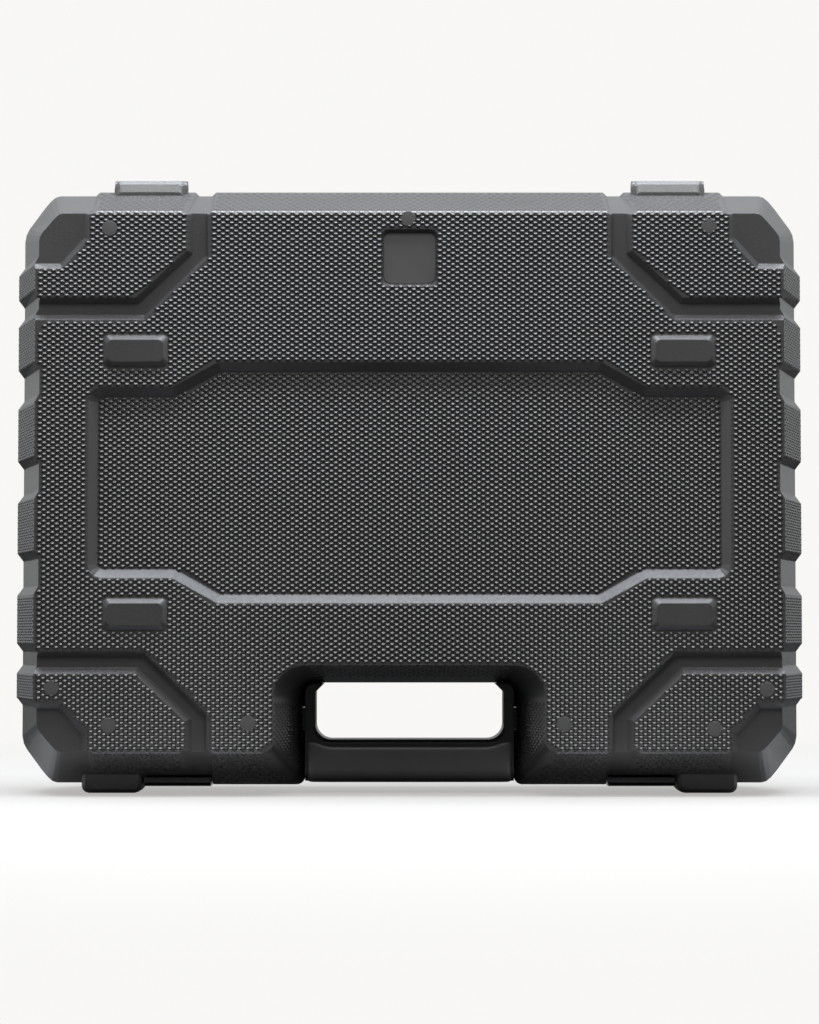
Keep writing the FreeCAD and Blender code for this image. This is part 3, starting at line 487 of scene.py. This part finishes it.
def pad_outline(hand, up):
    """Outline of a corner pad: hand is -1 or 1 for left or right, up is -1 or 1 for low or high."""
    end = face_top if up > 0 else face_bottom
    points = [
        (PAD_EDGE, end), (PAD_END, end), (PAD_END, mid + up * PAD_END_TURN),
        (PAD_END_MEET, mid + up * PAD_END_LINE), (rib_x, mid + up * PAD_END_LINE),
        (rib_x, mid + up * PAD_LINE), (PAD_MEET, mid + up * PAD_LINE),
        (PAD_EDGE, mid + up * PAD_TURN),
    ]
    return [(hand * x, z) for x, z in points]


# the panel's outline, with a quarter circle of three steps at each corner
panel_right = [(PANEL_MEET, PANEL_HALF), (PANEL_TURN, PANEL_SIDE_HALF)] + [
    (PANEL_END - PANEL_ROUND * across, PANEL_SIDE_HALF - PANEL_ROUND * upright)
    for across, upright in ((1.0, 0.0), (0.5, 0.134), (0.134, 0.5), (0.0, 1.0))
]
panel_right += [(x, -z) for x, z in reversed(panel_right)]
panel_outline = [(x, PANEL_MIDDLE + z) for x, z in both_sides(panel_right)]
pad_outlines = [pad_outline(hand, up) for hand in (-1, 1) for up in (-1, 1)]
rest_foot_outlines = [
    rectangle(hand * REST_FOOT_X, PANEL_MIDDLE + up * REST_FOOT_Z, REST_FOOT_WIDE, REST_FOOT_HIGH)
    for hand in (-1, 1) for up in (-1, 1)
]


def clear_places(half, places):
    """True where a place of the outer face lies clear of the panel, marks, rest feet and square."""
    clear = edge_distance(places, panel_outline) < -GRAIN_MARGIN
    if half == BASE:
        for x, z in EJECTOR_MARKS:
            away = np.hypot(places[:, 0] - x, places[:, 1] - z)
            clear &= away > EJECTOR_MARK_RADIUS - MARK_OVERLAP
        square = rectangle(0, SQUARE_MIDDLE, SQUARE_WIDE, SQUARE_WIDE)
        clear &= edge_distance(places, square) < -SQUARE_CLEAR
        for outline in rest_foot_outlines:
            clear &= edge_distance(places, outline) < -REST_FOOT_CLEAR
    return clear


def outer_face_grain(half):
    """Grain of the outer face: the field in an upper and a lower piece, the pads and the panel."""
    depth, name = DEPTH[half], HALF[half]
    runs = ((1, 0, 0), (0, 0, 1), (0, half, 0))

    def clear(places):
        return clear_places(half, places)

    parts = {
        "upper": ([field_outline], lambda places: clear(places) & (places[:, 1] > mid)),
        "lower": ([field_outline], lambda places: clear(places) & (places[:, 1] <= mid)),
        "pads": (pad_outlines, clear),
    }
    for part, (outlines, keep) in parts.items():
        wall_grain(
            "grain_%s_%s" % (part, name), half, (0, half * depth, 0), *runs,
            outlines, FACE_PITCH, FACE_PIMPLE, keep,
        )
    wall_grain(
        "grain_panel_" + name, half, (0, half * (depth - PANEL_DEEP), 0), *runs,
        [inset(panel_outline, PANEL_BEVEL - PANEL_OVERLAP)], FACE_PITCH, FACE_PIMPLE,
    )


def strip(seam_span, face_span, slant, begin=WALL_START):
    """Outline of a wall's strip in (s, t): t runs down the slope from 0 at the seam to slant at
    the outer face, and the span of s changes evenly between them. It starts at t = begin.
    """
    low, high = (a + (b - a) * begin / slant for a, b in zip(seam_span, face_span))
    return [(low, begin), (high, begin), (face_span[1], slant), (face_span[0], slant)]


def mirrored(span):
    """The same span on the other side of the middle."""
    return (-span[1], -span[0])


def clear_of_hinges(places):
    """True where a place of the top wall lies beside the hinge bosses or in front of them."""
    away = abs(places[:, 0])
    beside = (away < HINGE_NEAR - HINGE_CLEAR) | (away > HINGE_FAR + HINGE_CLEAR)
    return beside | (places[:, 1] > HINGE_FOOT)


def side_wall_grain(half):
    """Grain of the walls that run from the seam to the outer face, on their raised parts."""
    depth, name = DEPTH[half], HALF[half]
    field = ((-FIELD_EDGE_SEAM + WALL_BEVEL, FIELD_EDGE_SEAM - WALL_BEVEL),
             (-FIELD_EDGE + WALL_BEVEL, FIELD_EDGE - WALL_BEVEL))
    pad = ((PAD_EDGE_SEAM + WALL_BEVEL, PAD_END_SEAM - WALL_BEVEL),
           (PAD_EDGE + WALL_BEVEL, PAD_END - WALL_BEVEL))

    slant = math.hypot(depth, TOP_DRAFT) - EDGE_ROWS[-1][0] - GRAIN_MARGIN
    strips = [strip(*field, slant), strip(*pad, slant), strip(*map(mirrored, pad), slant)]
    wall_grain(
        "grain_top_" + name, half, (0, 0, CASE_TOP), (1, 0, 0), (0, half * depth, -TOP_DRAFT),
        (0, 0, 1), strips, WALL_PITCH, WALL_PIMPLE, clear_of_hinges,
    )

    slant = math.hypot(depth, BOTTOM_DRAFT)
    beside_notch = (
        (NOTCH_HALF_SEAM + NOTCH_ASIDE_SEAM, field[0][1]),
        (NOTCH_HALF_OUTER + NOTCH_ASIDE_OUTER, field[1][1]),
    )
    begin = PAD_STOP_DEPTH + WALL_START
    strips = [strip(*beside_notch, slant), strip(*map(mirrored, beside_notch), slant)]
    strips += [strip(*pad, slant, begin), strip(*map(mirrored, pad), slant, begin)]
    wall_grain(
        "grain_bottom_" + name, half, (0, 0, CASE_BOTTOM), (1, 0, 0),
        (0, half * depth, BOTTOM_DRAFT), (0, 0, -1), strips, WALL_PITCH, WALL_PIMPLE,
    )

    slant = math.hypot(depth, SIDE_DRAFT)
    strips = []
    for upper, lower in rib_spans:
        bevel = rib_bevel(upper, lower) - RIB_OVERLAP
        span = (lower + bevel, upper - bevel)
        strips.append(strip(span, span, slant))
    for hand, side in SIDES:
        wall_grain(
            "grain_ribs_%s_%s" % (side, name), half, (hand * RIB_HALF_WIDTH, 0, 0), (0, 0, 1),
            (-hand * SIDE_DRAFT, half * depth, 0), (hand, 0, 0),
            strips, NARROW_PITCH, NARROW_PIMPLE,
        )


def edge_grain(half, up):
    """Rows of pimples that lead the grain round the upper or lower edge of the outer face.

    Each row goes on from the face's last row, by turns between its pimples and in line with them.
    """
    edge, edge_name = (face_top, "top") if up > 0 else (face_bottom, "bottom")
    field_start = 0 if up > 0 else NOTCH_HALF_OUTER + NOTCH_FOOT_ROUND
    field_end = FIELD_EDGE - WALL_BEVEL - GRAIN_MARGIN
    pad_start, pad_end = PAD_EDGE + WALL_BEVEL + GRAIN_MARGIN, PAD_END - WALL_BEVEL - GRAIN_MARGIN
    last = math.floor(2 * (edge * up - GRAIN_MARGIN) / GRAIN_UPRIGHT)
    for row, (back, above, lean) in enumerate(EDGE_ROWS):
        shift = ((last + 1 + row) % 2) / 2
        x = (np.arange(-EDGE_ROW_HALF_COUNT, EDGE_ROW_HALF_COUNT) + shift) * GRAIN_ACROSS
        away = abs(x)
        kept = (away > field_start) & (away < field_end)
        kept |= (away > pad_start) & (away < pad_end)
        x = x[kept]
        y = np.full(len(x), half * (DEPTH[half] - back))
        places = np.stack([x, y, np.full(len(x), edge + up * above)], 1)
        angle = math.radians(lean)
        outwards = np.array([0.0, half * math.cos(angle), up * math.sin(angle)])
        across = np.array([1.0, 0.0, 0.0])
        repeated(
            "grain_%s_edge_%d_%s" % (edge_name, row + 1, HALF[half]), pimple_form(),
            places, across, np.cross(outwards, across), outwards,
            EDGE_PIMPLE, PIMPLE_SUNK, wall_pimple_painted_shade, half,
        )


def notch_grain(half):
    """Grain of the notch: its roof, and its side walls, which have a ridge between two facets."""
    depth, name = DEPTH[half], HALF[half]
    rise = BOTTOM_DRAFT / depth
    facets = {
        "inner": (
            NOTCH_HALF_SEAM, NOTCH_HALF_RIDGE, 0.0, NOTCH_RIDGE_DEPTH,
            NOTCH_INNER_START, NOTCH_INNER_TOP,
        ),
        "outer": (
            NOTCH_HALF_RIDGE, NOTCH_HALF_OUTER, NOTCH_RIDGE_DEPTH, depth, 0.0, NOTCH_OUTER_TOP,
        ),
    }
    for part, (x_near, x_far, y_near, y_far, begin, top) in facets.items():
        slant = math.hypot(x_far - x_near, y_far - y_near)
        low_near, low_far = (CASE_BOTTOM + rise * y + NOTCH_FOOT_ROUND for y in (y_near, y_far))
        outline = strip((low_near, top), (low_far, top), slant, begin)
        for hand, side in SIDES:
            wall_grain(
                "grain_notch_%s_%s_%s" % (part, side, name), half,
                (hand * x_near, half * y_near, 0), (0, 0, 1),
                (hand * (x_far - x_near), half * (y_far - y_near), 0), (-hand, 0, 0),
                [outline], NARROW_PITCH, NARROW_PIMPLE,
            )
    rise = NOTCH_TOP_OUTER - NOTCH_TOP_SEAM
    roof = ((-NOTCH_ROOF_SEAM, NOTCH_ROOF_SEAM), (-NOTCH_ROOF_OUTER, NOTCH_ROOF_OUTER))
    outline = strip(*roof, math.hypot(depth, rise), NOTCH_ROOF_START)
    wall_grain(
        "grain_notch_roof_" + name, half, (0, 0, NOTCH_TOP_SEAM), (1, 0, 0),
        (0, half * depth, rise), (0, 0, -1), [outline], WALL_PITCH, WALL_PIMPLE,
    )


for half in (BASE, LID):
    outer_face_grain(half)
    side_wall_grain(half)
    notch_grain(half)
    edge_grain(half, 1)
    edge_grain(half, -1)

mark_centres = np.array([(x, -DEPTH[BASE], z) for x, z in EJECTOR_MARKS])
repeated(
    "ejector_marks", disc_form(), mark_centres, (1, 0, 0), (0, 0, 1), (0, -1, 0),
    (EJECTOR_MARK_RADIUS, EJECTOR_MARK_RADIUS, EJECTOR_MARK_PROUD), 0.0, insert_plastic, BASE,
)


# The grip is clamped in its notch: on the base half a lip closes the gap round each of its arms.
# Its near-black plastic is painted shade, and it keeps light from showing through the gap.
LIP_X, LIP_TOP, LIP_BEND, LIP_LOW, LIP_END = 56.85, 59.45, 5.5, 9.0, 47.6
LIP_HALF_THICK, LIP_NEAR, LIP_FAR = 0.3, 1.0, 6.0


def grip_lip(hand):
    """Thin strip that follows the grip's arm: a straight, a quarter circle and a straight."""
    angle = np.linspace(0, np.pi / 2, ROUND_STEPS)
    round_x, round_z = np.cos(angle), np.sin(angle)
    x = np.concatenate([[LIP_X], LIP_X - LIP_BEND + LIP_BEND * round_x, [LIP_END]])
    z = np.concatenate([[LIP_LOW], LIP_TOP - LIP_BEND + LIP_BEND * round_z, [LIP_TOP]])
    across, up = np.concatenate([[1.0], round_x, [0.0]]), np.concatenate([[0.0], round_z, [1.0]])
    rings = []
    for side, depth in ((1, LIP_NEAR), (1, LIP_FAR), (-1, LIP_FAR), (-1, LIP_NEAR)):
        away = side * LIP_HALF_THICK
        y = np.full(len(x), -depth)
        rings.append(np.stack([hand * (x + away * across), y, z + away * up], 1))
    return loft(np.stack(rings, 1))


# a raised line on the base's rim, round the bays and between them, which fills the seam
# between the halves and lets no light through it
RIM_X, RIM_BOTTOM, RIM_MIDDLE, RIM_TOP = 188.0, 12.0, 83.0, 305.0
RIM_HALF_WIDE, RIM_SUNK, RIM_PROUD = 0.8, 1.0, 0.12


def rim_line(x_low, x_high, z_low, z_high):
    """Straight run of the rim line, between the middles of its ends."""
    x = np.array([x_low, x_high, x_high, x_low]) + RIM_HALF_WIDE * np.array([-1, 1, 1, -1])
    z = np.array([z_low, z_low, z_high, z_high]) + RIM_HALF_WIDE * np.array([-1, -1, 1, 1])
    return loft([np.stack([x, np.full(4, depth), z], 1) for depth in (-RIM_SUNK, RIM_PROUD)])


# cushions on the grip's bar
GRIP_HALF_THICK, GRIP_LOW, GRIP_LOW_ROUND = 15.0, 6.4, 6.0
CUSHION_TOP, CUSHION_HALF, CUSHION_PROUD = 25.2, 55.2, 1.8
CUSHION_EAR, CUSHION_EAR_START, CUSHION_EAR_RUN = 2.6, 42.0, 11.0
CUSHION_END_POWER, CUSHION_ROUND_POWER, CUSHION_SUNK = 40, 2.5, 0.1
CUSHION_STEPS_ALONG, CUSHION_STEPS_UP = 41, 21

# the cushion's two inner edges, inside the bar: y of both, how far the upper one lies below the
# cushion's top, and z of the lower one
CUSHION_INNER_Y, CUSHION_INNER_DOWN, CUSHION_INNER_LOW = (12.0, 8.4), 0.6, 7.2


def cushion(side):
    """Swelling that goes round the bar's lower edge and up its face, and dies away at its ends.

    At share v of the way up and u of the way across, both from -1 to 1, it stands proud by
    CUSHION_PROUD sqrt((1 - |v|^2.5) (1 - |u|^40)) - CUSHION_SUNK. Its upper edge rises towards
    the arms by the S curve w^2 (3 - 2 w).
    """
    u = np.sin(np.linspace(-np.pi / 2, np.pi / 2, CUSHION_STEPS_ALONG))
    rise = np.clip((abs(u) * CUSHION_HALF - CUSHION_EAR_START) / CUSHION_EAR_RUN, 0, 1)
    top = CUSHION_TOP + CUSHION_EAR * rise**2 * (3 - 2 * rise)
    centre_y, centre_z = GRIP_HALF_THICK - GRIP_LOW_ROUND, GRIP_LOW + GRIP_LOW_ROUND
    arc = GRIP_LOW_ROUND * np.pi / 2
    v = np.sin(np.linspace(-np.pi / 2, np.pi / 2, CUSHION_STEPS_UP))
    run = (v + 1) / 2 * (arc + top[:, None] - centre_z)
    angle = np.minimum(run, arc) / GRIP_LOW_ROUND
    fade = np.outer(1 - abs(u) ** CUSHION_END_POWER, 1 - abs(v) ** CUSHION_ROUND_POWER)
    proud = CUSHION_PROUD * np.sqrt(fade) - CUSHION_SUNK
    y = centre_y + (GRIP_LOW_ROUND + proud) * np.sin(angle)
    z = centre_z - (GRIP_LOW_ROUND + proud) * np.cos(angle) + np.maximum(run - arc, 0)
    inner_y = np.broadcast_to(CUSHION_INNER_Y, (len(u), 2))
    inner_z = np.stack([top - CUSHION_INNER_DOWN, np.full(len(u), CUSHION_INNER_LOW)], 1)
    y, z = np.concatenate([y, inner_y], 1), np.concatenate([z, inner_z], 1)
    x = np.broadcast_to(CUSHION_HALF * u[:, None], y.shape)
    return loft(np.stack([x, side * y, z], -1))


# the plain face of the square recess, where the mould has an insert
INSERT_DEEP, INSERT_WIDE, INSERT_PROUD, INSERT_SUNK = 2.5, 27.8, 0.06, 0.3
INSERT_POWER, INSERT_SIDES, INSERT_TOP_SHARE = 7, 64, 0.97


def insert_face():
    """Thin plate whose outline is |x|^7 + |z|^7 = 1, a square with rounded corners.

    A last ring just inside the rim keeps its smooth shading off the flat face.
    """
    angle = np.arange(INSERT_SIDES) * 2 * np.pi / INSERT_SIDES
    across, up = (
        np.sign(w) * abs(w) ** (2 / INSERT_POWER) * INSERT_WIDE / 2
        for w in (np.cos(angle), np.sin(angle))
    )
    face_y = -(DEPTH[BASE] - INSERT_DEEP)
    rings = []
    for back, scale in ((INSERT_SUNK, 1), (-INSERT_PROUD, 1), (-INSERT_PROUD, INSERT_TOP_SHARE)):
        y = np.full(INSERT_SIDES, face_y + back)
        rings.append(np.stack([scale * across, y, SQUARE_MIDDLE + scale * up], 1))
    return loft(rings)


for hand, side in SIDES:
    mesh_piece("grip_lip_" + side, *grip_lip(hand), grip_frame_painted_shade, BASE)
for side, run in (
    ("left", (-RIM_X, -RIM_X, RIM_BOTTOM, RIM_TOP)),
    ("right", (RIM_X, RIM_X, RIM_BOTTOM, RIM_TOP)),
    ("top", (-RIM_X, RIM_X, RIM_TOP, RIM_TOP)),
    ("middle", (-RIM_X, RIM_X, RIM_MIDDLE, RIM_MIDDLE)),
):
    mesh_piece("rim_line_" + side, *rim_line(*run), shell_plastic, BASE)
# the cushions' lighter plastic is painted light on the bar's face
mesh_piece("grip_cushion_front", *cushion(-1), grip_plastic, BASE)
mesh_piece("grip_cushion_back", *cushion(1), grip_plastic, BASE)
mesh_piece("recess_face", *insert_face(), insert_plastic, BASE)


# carried-over CAD nodes
for name in ("base_shell", "lid_shell"):
    finish_with(nodes[name], shell_plastic)
# the grip's frame takes the near-black plastic, painted shade round the window and on the arms
finish_with(nodes["grip"], grip_frame_painted_shade)
for side in ("left", "right"):
    finish_with(nodes["latch_" + side], latch_plastic)
    finish_with(nodes["latch_pin_" + side], pin_steel)
    finish_with(nodes["hinge_pin_" + side], pin_steel)


# floor, light and world
WHITE = (0.939, 0.931, 0.913, 1)
CARD_DARK, CARD_LIGHT, CARD_SQUEEZE = 0.05, 0.8, (0.35, 1.0, 1.0)
FLOOR_WIDE = 12.0


def studio_floor():
    """Pale floor that keeps the case's shadow and runs out into the white of the backdrop.

    Only the camera sees it so: to the case it is a dark card, and light only right under the
    walls beside the grip, inside an ellipse that is longer in X.
    """
    material, tree, shader, add = new_material("studio_floor")
    tree.nodes.remove(shader)
    place = add("ShaderNodeTexCoord").outputs["Object"]
    far = add("ShaderNodeVectorMath", {0: place}, operation="LENGTH").outputs["Value"]
    whiteness = smooth_change(add, far, 0.3, 0.9, 0.45, 1.0)
    pale = add("ShaderNodeBsdfDiffuse", {"Color": (0.77, 0.755, 0.725, 1)})
    white = add("ShaderNodeEmission", {"Color": WHITE, "Strength": 1.0})
    seen = add("ShaderNodeMixShader", {0: whiteness, 1: pale.outputs[0], 2: white.outputs[0]})

    squeezed = add("ShaderNodeVectorMath", {0: place, 1: CARD_SQUEEZE}, operation="MULTIPLY")
    near = add("ShaderNodeVectorMath", {0: squeezed.outputs["Vector"]}, operation="LENGTH")
    along_x = add("ShaderNodeSeparateXYZ", {0: place}).outputs["X"]
    aside = add("ShaderNodeMath", {0: along_x}, operation="ABSOLUTE")
    under_walls = smooth_change(add, aside.outputs[0], 0.05, 0.09, CARD_DARK, CARD_LIGHT)
    grey = smooth_change(add, near.outputs["Value"], 0.06, 0.13, under_walls, CARD_DARK)
    card = add("ShaderNodeBsdfDiffuse", {"Color": grey})

    camera_ray = add("ShaderNodeLightPath").outputs["Is Camera Ray"]
    mixed = add("ShaderNodeMixShader", {0: camera_ray, 1: card.outputs[0], 2: seen.outputs[0]})
    tree.links.new(mixed.outputs[0], tree.nodes["Material Output"].inputs["Surface"])
    return material


floor_mesh = bpy.data.meshes.new("floor")
floor_corners = [(x, y, 0) for x, y in rectangle(0, 0, FLOOR_WIDE, FLOOR_WIDE)]
floor_mesh.from_pydata(floor_corners, [], [(0, 1, 2, 3)])
floor = bpy.data.objects.new("floor", floor_mesh)
bpy.context.scene.collection.objects.link(floor)
floor_mesh.materials.append(studio_floor())


def softbox(name, location, target, size_x, size_y, power, colour):
    """Rectangular lamp that points at target."""
    light = bpy.data.lights.new(name, "AREA")
    light.shape = "RECTANGLE"
    light.size, light.size_y = size_x, size_y
    light.energy = power
    light.color = colour
    lamp = bpy.data.objects.new(name, light)
    lamp.location = location
    x, y, z = np.array(target) - np.array(location)
    lamp.rotation_euler = (math.pi / 2 + math.atan2(z, math.hypot(x, y)), 0, -math.atan2(x, y))
    bpy.context.scene.collection.objects.link(lamp)


softbox(
    "top_softbox", location=(0, -0.12, 1.5), target=(0, -0.03, 0.2),
    size_x=1.5, size_y=0.8, power=26, colour=(0.93, 0.98, 1.07),
)
softbox(
    "front_softbox", location=(0, -1.1, 1.45), target=(0, 0, 0.15),
    size_x=1.4, size_y=0.6, power=10.5, colour=(1.0, 0.99, 0.98),
)


def studio_world():
    """White for the camera, and otherwise a grey room, light behind the case and at both sides."""
    world = bpy.data.worlds.new("studio")
    world.use_nodes = True
    tree = world.node_tree
    add = node_adder(tree)
    direction = add("ShaderNodeTexCoord").outputs["Generated"]
    parts = add("ShaderNodeSeparateXYZ", {0: direction}).outputs
    behind = smooth_change(add, parts["Z"], 0.05, 0.5, 0.6, 0.52)
    level = smooth_change(add, parts["Y"], -0.3, 0.4, 0.05, behind)
    sideways = add("ShaderNodeMath", {0: parts["X"]}, operation="ABSOLUTE")
    beside = smooth_change(add, sideways.outputs[0], 0.7, 0.98, 0.0, 0.6)
    both = add("ShaderNodeMath", {0: level, 1: beside}, operation="ADD")
    room = tree.nodes["Background"]
    room.inputs["Color"].default_value = (0.97, 0.985, 1.0, 1)
    tree.links.new(both.outputs[0], room.inputs["Strength"])
    white = add("ShaderNodeBackground", {"Color": WHITE})
    camera_ray = add("ShaderNodeLightPath").outputs["Is Camera Ray"]
    mixed = add("ShaderNodeMixShader", {0: camera_ray, 1: room.outputs[0], 2: white.outputs[0]})
    tree.links.new(mixed.outputs[0], tree.nodes["World Output"].inputs["Surface"])
    return world


bpy.context.scene.world = studio_world()
